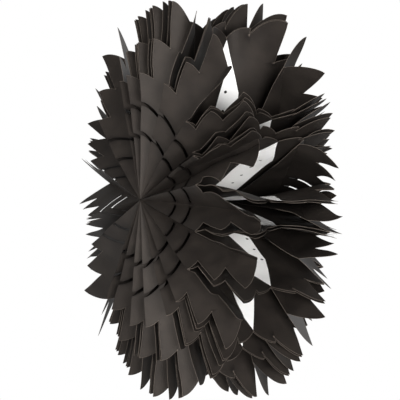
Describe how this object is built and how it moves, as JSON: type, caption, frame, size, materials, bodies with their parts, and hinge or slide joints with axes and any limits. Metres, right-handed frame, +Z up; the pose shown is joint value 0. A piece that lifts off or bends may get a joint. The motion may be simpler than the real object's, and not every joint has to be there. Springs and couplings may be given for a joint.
{
  "type": "paper snowflake decoration",
  "caption": "Round hanging decoration fanned out of gusseted black paper bags cut with teeth and ring slits, with white strips inside.",
  "frame": {"origin": "on the fan's level axis, half way through its depth, which is the middle of its box to within 0.4 mm", "axes": "+Y along the axis from the front faces to the back, +Z up, +X to the right seen from the front"},
  "size_m": [0.4517, 0.1672, 0.4505],
  "materials": {
    "black_paper": "matt",
    "white_paper": "matt"
  },
  "bodies": {
    "root": {"bag_01": "black_paper", "bag_02": "black_paper", "bag_03": "black_paper", "bag_04": "black_paper", "bag_05": "black_paper", "bag_06": "black_paper", "bag_07": "black_paper", "bag_08": "black_paper", "bag_09": "black_paper", "bag_10": "black_paper", "bag_11": "black_paper", "bag_12": "black_paper", "bag_13": "black_paper", "bag_14": "black_paper", "bag_15": "black_paper", "bag_16": "black_paper", "bag_17": "black_paper", "bag_18": "black_paper", "bag_19": "black_paper", "strip_01": "white_paper", "strip_02": "white_paper", "strip_03": "white_paper", "strip_04": "white_paper", "strip_05": "white_paper", "strip_06": "white_paper", "strip_07": "white_paper", "strip_08": "white_paper", "strip_09": "white_paper", "strip_10": "white_paper", "strip_11": "white_paper", "strip_12": "white_paper", "strip_13": "white_paper", "strip_14": "white_paper", "strip_15": "white_paper", "strip_16": "white_paper", "strip_17": "white_paper", "strip_18": "white_paper", "strip_19": "white_paper"}
  },
  "joints": []
}
